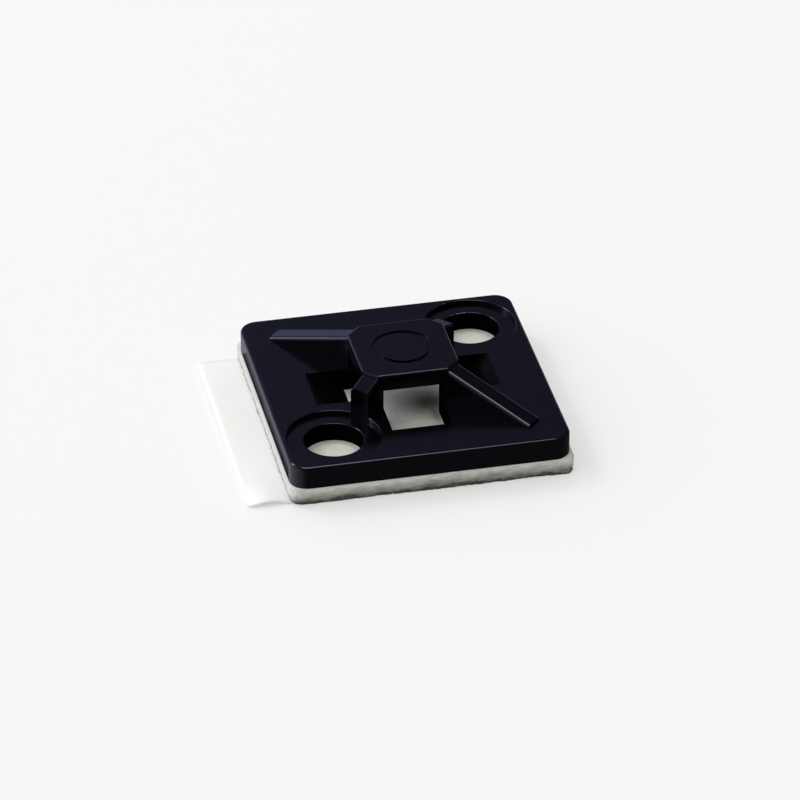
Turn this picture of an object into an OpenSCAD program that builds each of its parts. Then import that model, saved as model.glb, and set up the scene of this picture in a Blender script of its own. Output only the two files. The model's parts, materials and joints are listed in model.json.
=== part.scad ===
// Adhesive-backed four-way cable tie mount.
// One black nylon moulding: a square base plate with a raised saddle, two
// crossed tie channels that run under the saddle, four sloping ribs and two
// screw holes. A foam pad is stuck under the plate, and the pad still has its
// release liner. Millimetres, +Z up. The origin is at the middle of the square
// pad, on the underside of the liner, where the mount rests.

/* [Base plate] */
// Side of the square base plate
base_w = 28; // [27:0.5:40]
// Thickness of the base plate
base_t = 2.4; // [1.8:0.1:3.5]
// Radius of the base plate's corners, seen from above
base_corner_r = 1.8; // [1:0.1:4]
// Rounding of the base plate's upper edge
base_edge_r = 0.3; // [0.1:0.05:0.3]

/* [Tie channels] */
// Width of each tie channel, between the legs of the saddle
channel_w = 6; // [4.5:0.1:8]
// Gap between the saddle's side and the foot of a ramp, seen from above
ramp_gap = 0.45; // [0.2:0.05:0.8]
// Length of each ramp from its foot to the plate's top, seen from above
ramp_l = 3.95; // [3:0.05:4.4]

/* [Saddle] */
// Width of the saddle beside a channel, which is also the side of a leg
leg_w = 1.9; // [1.7:0.05:2.4]
// Height of the window between the base plate's top and the saddle's underside
window_h = 2; // [1.5:0.05:3.5]
// Thickness of the saddle over the tie channels
saddle_t = 1.75; // [1.4:0.05:3]
// Cut across each upright corner of the saddle, along one side
saddle_corner_cut = 1.4; // [0.8:0.05:1.6]
// Rounding of the saddle's upper edges
saddle_edge_r = 0.25; // [0.1:0.05:0.6]

/* [Round mark on the saddle] */
// Outer diameter of the ring groove
mark_d = 6.2; // [4:0.1:7]
// Width of the ring groove
mark_groove_w = 0.5; // [0.2:0.05:0.8]
// Depth of the ring groove
mark_groove_depth = 0.15; // [0.1:0.05:0.5]

/* [Ribs] */
// Width of each rib
rib_w = 2; // [1.2:0.1:2.6]
// Length of a long rib beyond the saddle's corner, seen from above
rib_l = 9.85; // [7:0.05:11]
// Step from the saddle's top down to the rib, at the saddle's corner
rib_step = 0.4; // [0.1:0.05:0.8]
// Height of the rib's blunt end above the base plate
rib_tip_h = 0.1; // [0.05:0.05:0.5]
// Rounding along the rib's upper edges
rib_edge_r = 0.35; // [0.1:0.05:0.5]

/* [Screw holes] */
// Distance from the middle of a screw hole to both nearby sides of the plate
hole_inset = 5.2; // [5.1:0.05:6]
// Diameter of each screw hole
hole_d = 5.9; // [3:0.1:6.4]
// Diameter of the clear space for the screw's head
head_d = 9.3; // [7:0.1:9.3]
// Depth of the recess for the screw's head
head_recess = 0.45; // [0.3:0.05:1.2]
// Rounding of the upper rims of a screw hole and of its recess
hole_rim_r = 0.1; // [0.05:0.05:0.15]

/* [Foam pad] */
// Thickness of the adhesive foam pad
foam_t = 1.6; // [0.8:0.1:3]
// Edge of the base plate left bare around the pad
foam_margin = 0.1; // [0:0.05:1]

/* [Release liner] */
// Thickness of the release liner
liner_t = 0.15; // [0.1:0.05:0.4]
// Length of the liner's pull tab beyond the pad
liner_tab = 4.5; // [1:0.1:10]
// Radius of the pull tab's corners
liner_tab_corner_r = 0.8; // [0.2:0.1:2]

/* [Hidden] */
$fn = 96;
// Overlap that lets one cut or joined solid run through another
over = 1;

// Levels, upwards from the underside of the liner
foam_z = liner_t;
base_z = foam_z + foam_t;
base_top_z = base_z + base_t;
saddle_z = base_top_z + window_h;
top_z = saddle_z + saddle_t;

// The pad and the liner follow the outline of the base plate
foam_w = base_w - 2 * foam_margin;
foam_corner_r = base_corner_r - foam_margin;

// Side of the saddle, and its width between two opposite corner cuts
saddle_w = channel_w + 2 * leg_w;
saddle_cut_w = (saddle_w - saddle_corner_cut) * sqrt(2);

// A rib's top falls from the saddle's corner cut to the blunt end
rib_start = saddle_cut_w / 2;
rib_start_z = top_z - rib_step;
rib_tip_z = base_top_z + rib_tip_h;
rib_slope = atan2(rib_start_z - rib_tip_z, rib_l);

// Directions, seen from above, of the screw holes and of the ribs
hole_angles = [45, 225];
rib_angles = [45, 135, 225, 315];

// Distance of each screw hole from the middle of the mount
hole_reach = (base_w / 2 - hole_inset) * sqrt(2);
head_floor_z = base_top_z - head_recess;

// Rectangle with round corners, centred on the origin
module rounded_rect(w, d, r) {
    square([w - 2 * r, d], center = true);
    square([w, d - 2 * r], center = true);
    for (x = [-1, 1], y = [-1, 1])
        translate([x * (w / 2 - r), y * (d / 2 - r)]) circle(r);
}

// Cross-section that stands on the X axis and has round upper corners
module crowned_profile(w, h, r) {
    translate([-w / 2, 0]) square([w, h - r]);
    translate([r - w / 2, 0]) square([w - 2 * r, h]);
    for (x = [-1, 1]) translate([x * (w / 2 - r), h - r]) circle(r);
}

// Bar along X with round upper edges, centred on the Z axis
module crowned_bar(length, w, h, r) {
    rotate([90, 0, 90]) linear_extrude(length, center = true) crowned_profile(w, h, r);
}

// Square plate with round corners and a rounded upper edge all round
module crowned_plate(w, h, corner_r, edge_r) {
    for (a = [0, 90]) rotate([0, 0, a]) crowned_bar(w - 2 * corner_r, w, h, edge_r);
    for (x = [-1, 1], y = [-1, 1])
        translate([x, y, 0] * (w / 2 - corner_r))
            rotate_extrude() intersection() {
                crowned_profile(2 * corner_r, h, edge_r);
                square([corner_r, h]);
            }
}

// Square column with cut corners, whose eight upper edges are rounded
module saddle_block(h) {
    length = 2 * saddle_w;
    intersection() {
        crowned_bar(length, saddle_w, h, saddle_edge_r);
        rotate([0, 0, 90]) crowned_bar(length, saddle_w, h, saddle_edge_r);
        rotate([0, 0, 45]) crowned_bar(length, saddle_cut_w, h, saddle_edge_r);
        rotate([0, 0, 135]) crowned_bar(length, saddle_cut_w, h, saddle_edge_r);
    }
}

// Rib that runs out along X from the saddle and slopes down to a blunt end
module rib() {
    drop = rib_start_z - base_z;
    intersection() {
        translate([rib_start, 0, rib_start_z]) rotate([0, rib_slope, 0])
            translate([0, 0, -drop]) crowned_bar(2 * rib_l, rib_w, drop, rib_edge_r);
        translate([0, -rib_w, base_z]) cube([rib_start + rib_l, 2 * rib_w, top_z - base_z]);
    }
}

// Channel along X for a tie: level under the saddle, with a ramp at each end
module tie_channel() {
    foot_x = saddle_w / 2 + ramp_gap;
    end_x = foot_x + ramp_l + over;
    end_z = base_top_z + over * base_t / ramp_l;
    rotate([90, 0, 0]) linear_extrude(channel_w, center = true) {
        polygon([
            [-foot_x, base_z],
            [foot_x, base_z],
            [end_x, end_z],
            [-end_x, end_z]
        ]);
        translate([-foot_x, base_z - over]) square([2 * foot_x, over]);
        translate([-foot_x, base_z]) square([2 * foot_x, saddle_z - base_z]);
    }
}

// Ring cut that rounds the upper rim of a round hole, at that rim's level
module rim_round(d) {
    translate([0, 0, -hole_rim_r]) rotate_extrude() translate([d / 2, 0]) difference() {
        translate([-over, 0]) square([over + hole_rim_r, over]);
        translate([hole_rim_r, 0]) circle(hole_rim_r);
    }
}

// Screw hole, and the clear space above it for the screw's head
module screw_hole() {
    translate([hole_reach, 0, 0]) {
        translate([0, 0, base_z - over]) cylinder(h = base_t + over, d = hole_d);
        translate([0, 0, head_floor_z]) rim_round(hole_d);
        translate([0, 0, head_floor_z]) cylinder(h = top_z, d = head_d);
    }
}

// Ring groove in the saddle's top
module round_mark() {
    translate([0, 0, top_z - mark_groove_depth]) difference() {
        cylinder(h = over, d = mark_d);
        translate([0, 0, -over]) cylinder(h = 3 * over, d = mark_d - 2 * mark_groove_w);
    }
}

module mount_body() {
    color("#16171d") difference() {
        union() {
            difference() {
                translate([0, 0, base_z])
                    crowned_plate(base_w, base_t, base_corner_r, base_edge_r);
                for (a = hole_angles)
                    rotate([0, 0, a]) translate([hole_reach, 0, base_top_z]) rim_round(head_d);
            }
            translate([0, 0, base_z]) saddle_block(top_z - base_z);
            for (a = rib_angles) rotate([0, 0, a]) rib();
        }
        for (a = [0, 90]) rotate([0, 0, a]) tie_channel();
        for (a = hole_angles) rotate([0, 0, a]) screw_hole();
        round_mark();
    }
}

module foam_pad() {
    color("#dcdcd6") translate([0, 0, foam_z])
        linear_extrude(foam_t) rounded_rect(foam_w, foam_w, foam_corner_r);
}

module release_liner() {
    color("#eeeeec") linear_extrude(liner_t) {
        rounded_rect(foam_w, foam_w, foam_corner_r);
        translate([-liner_tab / 2 - foam_corner_r, 0])
            rounded_rect(foam_w + liner_tab - 2 * foam_corner_r, foam_w, liner_tab_corner_r);
    }
}

mount_body();
foam_pad();
release_liner();
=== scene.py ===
# Adhesive-backed cable tie mount on a white table top.
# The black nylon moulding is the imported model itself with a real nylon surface.
# The foam pad and its release liner are modelled here, in place of the plain
# solids that stand for them. Lengths are written in millimetres.
import bpy
import json
import math
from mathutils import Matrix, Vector, noise


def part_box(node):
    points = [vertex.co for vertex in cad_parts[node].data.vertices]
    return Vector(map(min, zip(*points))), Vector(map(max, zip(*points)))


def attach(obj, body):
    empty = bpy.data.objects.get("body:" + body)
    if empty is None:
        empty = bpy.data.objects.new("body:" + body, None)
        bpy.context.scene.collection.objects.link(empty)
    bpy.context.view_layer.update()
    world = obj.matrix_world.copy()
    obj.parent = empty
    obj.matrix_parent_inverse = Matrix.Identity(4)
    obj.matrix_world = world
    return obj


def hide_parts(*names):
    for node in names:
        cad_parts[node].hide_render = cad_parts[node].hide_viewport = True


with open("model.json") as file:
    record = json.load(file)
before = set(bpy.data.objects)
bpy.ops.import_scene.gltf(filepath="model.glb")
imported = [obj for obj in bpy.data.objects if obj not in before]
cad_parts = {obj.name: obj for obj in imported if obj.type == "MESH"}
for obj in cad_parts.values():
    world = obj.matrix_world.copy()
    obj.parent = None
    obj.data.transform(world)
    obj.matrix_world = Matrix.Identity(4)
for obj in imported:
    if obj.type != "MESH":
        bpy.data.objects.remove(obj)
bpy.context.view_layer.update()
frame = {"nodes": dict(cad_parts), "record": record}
MM = 0.001


# ---- Black nylon moulding --------------------------------------------------
# Injection-moulded nylon 66, dyed black. The tool was bead blasted lightly,
# so the faces are satin rather than polished, with faint flow waves.

def linear(code):
    """A colour written as sRGB hex, as the linear values that shaders take."""
    channels = [int(code[i:i + 2], 16) / 255 for i in (1, 3, 5)]
    values = [c / 12.92 if c <= 0.04045 else ((c + 0.055) / 1.055) ** 2.4 for c in channels]
    return (*values, 1.0)


def new_material(name, code, roughness, ior):
    """A material with one Principled shader, and that shader."""
    material = bpy.data.materials.new(name)
    material.use_nodes = True
    shader = material.node_tree.nodes["Principled BSDF"]
    shader.inputs["Base Color"].default_value = linear(code)
    shader.inputs["Roughness"].default_value = roughness
    shader.inputs["IOR"].default_value = ior
    return material, shader


def add_node(material, kind, links=(), **settings):
    """One shader node. Links go from output sockets to its named inputs."""
    node = material.node_tree.nodes.new(kind)
    for key, value in settings.items():
        if hasattr(node, key):
            setattr(node, key, value)
        else:
            node.inputs[key.replace("_", " ")].default_value = value
    for socket, name in links:
        material.node_tree.links.new(socket, node.inputs[name])
    return node


def per_metre(millimetres):
    """Noise scale that gives features of about this size."""
    return 1 / (millimetres * MM)


def use_material(obj, material):
    obj.data.materials.clear()
    obj.data.materials.append(material)


nylon, nylon_shader = new_material("black_nylon_66", "#040405", 0.15, 1.53)
place = add_node(nylon, "ShaderNodeTexCoord").outputs["Object"]
wave_size, grain_size = 2.5, 0.15
waves = add_node(nylon, "ShaderNodeTexNoise", [(place, "Vector")], Scale=per_metre(wave_size), Detail=2.0)
grain = add_node(nylon, "ShaderNodeTexNoise", [(place, "Vector")], Scale=per_metre(grain_size), Detail=3.0)
gloss = add_node(
    nylon, "ShaderNodeMapRange", [(waves.outputs["Fac"], "Value")],
    From_Min=0.3, From_Max=0.7, To_Min=0.14, To_Max=0.19)
flow = add_node(
    nylon, "ShaderNodeBump", [(waves.outputs["Fac"], "Height")],
    Strength=0.5, Distance=0.007 * MM)
skin = add_node(
    nylon, "ShaderNodeBump", [(grain.outputs["Fac"], "Height"), (flow.outputs["Normal"], "Normal")],
    Strength=0.4, Distance=0.002 * MM)
nylon.node_tree.links.new(gloss.outputs["Result"], nylon_shader.inputs["Roughness"])
nylon.node_tree.links.new(skin.outputs["Normal"], nylon_shader.inputs["Normal"])
use_material(frame["nodes"]["mount_body"], nylon)


# ---- Foam pad --------------------------------------------------------------
# Double-sided polyethylene foam tape, die cut to the plate's outline. The cut
# leaves open cells and pinches the lower edge. The sticky face swells a
# little where the plate leaves it free, in the screw holes and in the pit.
# Its colour holds painted shade along the lower edge and under the saddle,
# and painted light on the left face.

def rounded_outline(low, high, radii, step):
    """Points round a rectangle, anticlockwise from the front right corner."""
    corners = [(high[0], low[1], -90), (high[0], high[1], 0), (low[0], high[1], 90), (low[0], low[1], 180)]
    points = []
    for (x, y, start), radius in zip(corners, radii):
        centre_x = x - math.copysign(radius, x - (low[0] + high[0]) / 2)
        centre_y = y - math.copysign(radius, y - (low[1] + high[1]) / 2)
        turns = max(4, round(radius * math.pi / 2 / step))
        for i in range(turns + 1):
            a = math.radians(start + 90 * i / turns)
            points.append((centre_x + radius * math.cos(a), centre_y + radius * math.sin(a)))
    dense = []
    for (x0, y0), (x1, y1) in zip(points, points[1:] + points[:1]):
        parts = max(1, round(math.hypot(x1 - x0, y1 - y0) / step))
        dense += [(x0 + (x1 - x0) * i / parts, y0 + (y1 - y0) * i / parts) for i in range(parts)]
    return dense


def add_rings(name, rings):
    """A closed mesh whose rings of points run from the middle below to the middle above."""
    count = len(rings[0])
    vertices = [point for ring in rings for point in ring]
    faces = [tuple(reversed(range(count))), tuple(range(len(vertices) - count, len(vertices)))]
    for r in range(len(rings) - 1):
        for i in range(count):
            j = (i + 1) % count
            faces.append((r * count + i, r * count + j, (r + 1) * count + j, (r + 1) * count + i))
    mesh = bpy.data.meshes.new(name)
    mesh.from_pydata([[value * MM for value in point] for point in vertices], [], faces)
    for polygon in mesh.polygons:
        polygon.use_smooth = True
    obj = bpy.data.objects.new(name, mesh)
    bpy.context.scene.collection.objects.link(obj)
    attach(obj, "root")
    return obj


def smooth(value):
    """Eases from 0 to 1 as the value goes from 0 to 1."""
    value = min(max(value, 0), 1)
    return value * value * (3 - 2 * value)


foam_low, foam_high = (corner / MM for corner in map(Vector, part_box("foam_pad")))
mounts = {mount["name"]: mount for mount in frame["record"]["mounts"]}
hole_reach = mounts["screw_holes"]["dims"]["pcd_mm"] / 2 / math.sqrt(2)
hole_radius = mounts["screw_holes"]["dims"]["hole_r_mm"]
foam_swell = 0.22
swell_reach = 0.9
hole_gap, pit_gap = 0.05, 0.1
pit_long, pit_wide = 5.3, 3.0


def foam_top(x, y):
    """Height of the sticky face."""
    holes = [math.hypot(x - side * hole_reach, y - side * hole_reach) for side in (-1, 1)]
    free = hole_radius - hole_gap - min(holes)
    for along, across in ((x, y), (y, x)):
        free = max(free, min(pit_long - pit_gap - abs(along), pit_wide - pit_gap - abs(across)))
    return foam_high.z + foam_swell * smooth(free / swell_reach)


def foam_inset(x, y, z):
    """How far the cut face lies inside the pad's outline."""
    height = (z - foam_low.z) / (foam_high.z - foam_low.z)
    pinch = 0.12 * (1 - smooth(height / 0.8)) ** 1.5
    wander = 0.08 * noise.noise(Vector((x, y, z)) / 1.7) + 0.07 * noise.noise(Vector((x, y, 2 * z)) / 0.5)
    near = noise.voronoi(Vector((x, y, z)) / 0.34)[0][0]
    cells = 0.12 * (1 - smooth(near / 0.45))
    return max(0, pinch * (1 + 2 * wander) + wander + cells)


foam_spread = Vector((0.3, 0.3))
foam_corner = 0.8
edge_sag = 0.12
sag_start = 1.2
foam_outline = rounded_outline(
    foam_low.xy - foam_spread, foam_high.xy + foam_spread, [foam_corner] * 4, 0.15)
foam_rings = []
for share in (0.3, 0.7, 0.965):
    foam_rings.append([(x * share, y * share, foam_low.z) for x, y in foam_outline])
rows = 18
for row in range(rows + 1):
    ring = []
    for x, y in foam_outline:
        uneven = 0.9 + 0.3 * noise.noise(Vector((x, y, 0)) / 2.5)
        sag = edge_sag * smooth((x - foam_low.x) / sag_start) * uneven
        z = foam_low.z - sag + (foam_high.z - foam_low.z + sag) * row / rows
        share = 1 - foam_inset(x, y, z) / max(abs(x), abs(y))
        ring.append((x * share, y * share, z))
    foam_rings.append(ring)
face_steps = 56
for step in range(1, face_steps):
    share = 0.985 * (1 - step / face_steps)
    foam_rings.append([(x * share, y * share, foam_top(x * share, y * share)) for x, y in foam_outline])
foam = add_rings("foam_pad_cut", foam_rings)
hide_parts("foam_pad")

foam_material, foam_shader = new_material("white_polyethylene_foam", "#dcdcd4", 0.85, 1.5)
place = add_node(foam_material, "ShaderNodeTexCoord").outputs["Object"]
along = add_node(foam_material, "ShaderNodeVectorMath", [(place, 0)], operation="MULTIPLY")
along.inputs[1].default_value = (1, 1, 2.5)
streak_size, cell_size = 1.6, 0.15
streaks = add_node(
    foam_material, "ShaderNodeTexNoise", [(along.outputs["Vector"], "Vector")],
    Scale=per_metre(streak_size), Detail=6.0, Roughness=0.6)
split = add_node(foam_material, "ShaderNodeSeparateXYZ", [(place, "Vector")])
# Painted shade: the cut face gets darker towards its lower edge, where the foam meets the liner.
height = add_node(
    foam_material, "ShaderNodeMapRange", [(split.outputs["Z"], "Value")],
    From_Min=0, From_Max=foam_high.z * MM, To_Min=-0.55, To_Max=0.52)
# Painted light: the cut face on the left, towards the lamps, is painted lighter; the streaks are the
# foam's own uneven tone.
painted_left_light = add_node(
    foam_material, "ShaderNodeMapRange", [(split.outputs["X"], "Value")],
    From_Min=-13.6 * MM, From_Max=-14.1 * MM, To_Min=0, To_Max=0.4)
streaks_and_left_light = add_node(
    foam_material, "ShaderNodeMath", [(streaks.outputs["Fac"], 0), (painted_left_light.outputs["Result"], 1)],
    operation="ADD")
shade = add_node(
    foam_material, "ShaderNodeMath", [(height.outputs["Result"], 0), (streaks_and_left_light.outputs["Value"], 1)],
    operation="ADD")
tone = add_node(foam_material, "ShaderNodeValToRGB", [(shade.outputs["Value"], "Fac")])
# The dark low end of this ramp is the painted shade along the lower edge.
tone.color_ramp.elements[0].position = 0.08
tone.color_ramp.elements[0].color = linear("#4e4a40")
tone.color_ramp.elements[1].position = 1.0
tone.color_ramp.elements[1].color = linear("#dcdcd4")
tone.color_ramp.elements.new(0.3).color = linear("#918e84")
tone.color_ramp.elements.new(0.6).color = linear("#b6b5ae")
# Painted shade: a soft dark brown patch on the foam under the saddle, seen through the pit, where the
# saddle shades it.
shade_spot_x, shade_spot_y = 2.3, -1.2
from_shade_spot = add_node(foam_material, "ShaderNodeVectorMath", [(place, 0)], operation="DISTANCE")
from_shade_spot.inputs[1].default_value = (shade_spot_x * MM, shade_spot_y * MM, foam_high.z * MM)
shade_spot_mask = add_node(
    foam_material, "ShaderNodeMapRange", [(from_shade_spot.outputs["Value"], "Value")],
    interpolation_type="SMOOTHSTEP", From_Min=0.2 * MM, From_Max=4.2 * MM, To_Min=0.93, To_Max=0)
painted_saddle_shade = add_node(
    foam_material, "ShaderNodeMix",
    [(shade_spot_mask.outputs["Result"], 0), (tone.outputs["Color"], 6)], data_type="RGBA")
painted_saddle_shade.inputs[7].default_value = linear("#382410")
foam_material.node_tree.links.new(painted_saddle_shade.outputs[2], foam_shader.inputs["Base Color"])
fine = add_node(
    foam_material, "ShaderNodeTexNoise", [(place, "Vector")], Scale=per_metre(cell_size), Detail=4.0)
pits = add_node(
    foam_material, "ShaderNodeBump", [(fine.outputs["Fac"], "Height")],
    Strength=1.0, Distance=0.1 * MM)
foam_material.node_tree.links.new(pits.outputs["Normal"], foam_shader.inputs["Normal"])
use_material(foam, foam_material)


# ---- Release liner ---------------------------------------------------------
# Siliconed white paper under the foam. It stands out on the left as the tab
# that is pulled off, and the tab has lifted a little from the table.

liner_low, liner_high = (corner / MM for corner in map(Vector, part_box("release_liner")))
tab_start = foam_low.x - foam_spread.x
tab_wave = 0.1
tab_rise = 0.4


def liner_lift(x, y):
    """Height of the tab above the table."""
    out = min(max((tab_start - x) / (tab_start - liner_low.x), 0), 1)
    wave = tab_wave * smooth(out) * (1 + math.sin(y / 5 + 0.6))
    return wave + tab_rise * math.sin(math.pi * out) * smooth((-7 - y) / 7)


liner_edge = 0.3
liner_middle = (liner_low.x + liner_high.x) / 2
inner_low = Vector((liner_low.x, liner_low.y + liner_edge))
inner_high = Vector((liner_high.x - liner_edge, liner_high.y - liner_edge))
liner_outline = rounded_outline(inner_low, inner_high, [1.7, 1.7, 0.8, 0.8], 0.3)
liner_rings = []
liner_steps = 30
for z, steps in ((liner_low.z, range(1, liner_steps + 1)), (liner_high.z, range(liner_steps, 0, -1))):
    for step in steps:
        ring = []
        for x, y in liner_outline:
            x = liner_middle + (x - liner_middle) * step / liner_steps
            y = y * step / liner_steps
            ring.append((x, y, z + liner_lift(x, y)))
        liner_rings.append(ring)
liner = add_rings("release_liner_paper", liner_rings)
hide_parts("release_liner")
liner_material, liner_shader = new_material("siliconed_paper", "#fafaf6", 0.45, 1.5)
use_material(liner, liner_material)


# ---- Table top -------------------------------------------------------------
# Matt white laminate that runs out of view on every side, with a white paper
# backdrop round it. A black flag under the mount, seen only in reflections,
# paints dark reflections into the hole walls, and the moulding mirrors neither
# the table nor the foam and the liner.

table_size = 3
bpy.ops.mesh.primitive_plane_add(size=table_size)
table_top = bpy.context.object
table_top.name = "table_top"
table_material, table_shader = new_material("matt_white_laminate", "#f7f7f7", 0.9, 1.45)
glow_share = 0.42
glow = add_node(table_material, "ShaderNodeEmission", Color=linear("#f7f7f7"), Strength=1.0)
path = add_node(table_material, "ShaderNodeLightPath")
seen = add_node(
    table_material, "ShaderNodeMath",
    [(path.outputs["Is Camera Ray"], 0), (path.outputs["Is Glossy Ray"], 1)], operation="ADD")
seen_through = add_node(
    table_material, "ShaderNodeMath",
    [(seen.outputs["Value"], 0), (path.outputs["Is Transmission Ray"], 1)], operation="ADD")
glowing = add_node(
    table_material, "ShaderNodeMath", [(seen_through.outputs["Value"], 0)], operation="MULTIPLY")
glowing.inputs[1].default_value = glow_share
mixed = add_node(
    table_material, "ShaderNodeMixShader",
    [(glowing.outputs["Value"], "Fac"), (table_shader.outputs["BSDF"], 1), (glow.outputs["Emission"], 2)])
table_end = table_material.node_tree.nodes["Material Output"]
table_material.node_tree.links.new(mixed.outputs["Shader"], table_end.inputs["Surface"])
use_material(table_top, table_material)
for piece in (table_top, foam, liner):
    piece.visible_glossy = False

bpy.ops.mesh.primitive_cylinder_add(vertices=96, radius=1.45, depth=3, end_fill_type="NOTHING")
backdrop = bpy.context.object
backdrop.name = "paper_backdrop"
backdrop.visible_diffuse = False
backdrop.visible_glossy = False
backdrop.visible_shadow = False
backdrop_material, backdrop_shader = new_material("white_background_paper", "#000000", 1.0, 1.0)
backdrop_shader.inputs["Emission Color"].default_value = linear("#f6f6f6")
backdrop_shader.inputs["Emission Strength"].default_value = 1.0
use_material(backdrop, backdrop_material)

# Black that only reflections see: painted dark reflections.
reflection_darkener, reflection_darkener_shader = new_material("painted_dark_reflection", "#000000", 1.0, 1.0)


def black_plane(name, size, place):
    """A black square that only reflections see, turned to the mount to paint dark reflections."""
    bpy.ops.mesh.primitive_plane_add(size=size, location=place)
    plane = bpy.context.object
    plane.name = name
    plane.rotation_euler = Vector(place).to_track_quat("Z", "Y").to_euler()
    plane.visible_camera = False
    plane.visible_diffuse = False
    plane.visible_shadow = False
    use_material(plane, reflection_darkener)
    return plane


# Painted dark reflection: a black flag under the mount, seen only in the hole walls' reflections.
flag = black_plane("black_flag", 30.1 * MM, (0, 0, -0.2 * MM))


# ---- Light -----------------------------------------------------------------
# A dim bluish room that is lightest behind and on the left, where the soft key
# stands. A broad soft sky fills the shadows, and a strip overhead draws the
# thin bright lines along the edges. A black card that only reflections see
# paints dark reflections into the channel ramps.

world = bpy.data.worlds.new("room")
bpy.context.scene.world = world
world.use_nodes = True
direction = add_node(world, "ShaderNodeTexCoord").outputs["Generated"]
bright_side = (-0.45, 0.23, -0.15)
mean_level, least_level = 0.06, 0.05
split = add_node(world, "ShaderNodeSeparateXYZ", [(direction, "Vector")])
side = add_node(world, "ShaderNodeVectorMath", [(direction, 0)], operation="DOT_PRODUCT")
side.inputs[1].default_value = bright_side
lift = add_node(world, "ShaderNodeMath", [(side.outputs["Value"], 0)], operation="ADD")
lift.inputs[1].default_value = mean_level
level = add_node(world, "ShaderNodeMath", [(lift.outputs["Value"], 0)], operation="MAXIMUM")
level.inputs[1].default_value = least_level
rise = add_node(world, "ShaderNodeMapRange", [(split.outputs["Z"], "Value")], From_Min=-0.3, From_Max=0.1)
shades = add_node(world, "ShaderNodeMix", [(rise.outputs["Result"], 0)], data_type="RGBA")
shades.inputs[6].default_value = (1.05, 1.05, 1.25, 1.0)
shades.inputs[7].default_value = (0.95, 1.0, 1.85, 1.0)
tint = add_node(
    world, "ShaderNodeVectorMath", [(shades.outputs[2], 0), (level.outputs["Value"], "Scale")],
    operation="SCALE")
room = world.node_tree.nodes["Background"]
world.node_tree.links.new(tint.outputs["Vector"], room.inputs["Color"])


def add_light(name, kind, energy, direction, **settings):
    """A lamp out in that direction, in metres, that shines at the mount."""
    data = bpy.data.lights.new(name, kind)
    data.energy = energy
    for key, value in settings.items():
        setattr(data, key, value)
    obj = bpy.data.objects.new(name, data)
    bpy.context.scene.collection.objects.link(obj)
    obj.location = Vector(direction)
    obj.rotation_euler = Vector(direction).to_track_quat("Z", "Y").to_euler()
    return obj


sky = add_light("soft_sky", "SUN", 2.8, (-0.45, 0.2, 1.0), angle=math.radians(145))
sky.data.color = (0.99, 0.99, 0.87)
sky.visible_glossy = False
key = add_light("key", "AREA", 0.85, (-0.42, 0.37, 0.57), shape="DISK", size=0.15)
strip = add_light("overhead_strip", "AREA", 2.1, (-0.05, -0.15, 0.6), shape="RECTANGLE", size=0.4)
strip.data.size_y = 0.45
strip.data.color = (0.8, 0.9, 1.0)
strip.visible_diffuse = False
window = add_light("window", "AREA", 0.6, (-0.67, 0.29, 0.34), shape="DISK", size=0.22)
window.visible_diffuse = False
door = add_light("doorway", "AREA", 0.05, (0.40, 0.60, 0.07), shape="DISK", size=0.16)
door.visible_diffuse = False
# Painted dark reflection: a black card seen only in the channel ramps' reflections.
black_plane("black_card", 0.14, (-0.23, 0.5, 0.245))


# ---- Camera ----------------------------------------------------------------
# A long lens from the front, a little to the left and 32 degrees up.

azimuth, elevation, distance = math.radians(-12.27), math.radians(32.19), 0.570
right = Vector((math.cos(azimuth), math.sin(azimuth), 0))
back = Vector((
    math.sin(azimuth) * math.cos(elevation),
    -math.cos(azimuth) * math.cos(elevation),
    math.sin(elevation)))
up = back.cross(right)
aim = Vector((0, 0, 1.75 * MM)) - right * 0.28 * MM - up * 0.06 * MM
camera_data = bpy.data.cameras.new("camera")
camera_data.lens = 258.1
camera_data.sensor_width = 36
camera_data.clip_start = 0.01
camera = bpy.data.objects.new("camera", camera_data)
bpy.context.scene.collection.objects.link(camera)
camera.location = aim + back * distance
camera.rotation_euler = back.to_track_quat("Z", "Y").to_euler()
bpy.context.scene.camera = camera
bpy.context.scene.view_settings.view_transform = "Standard"
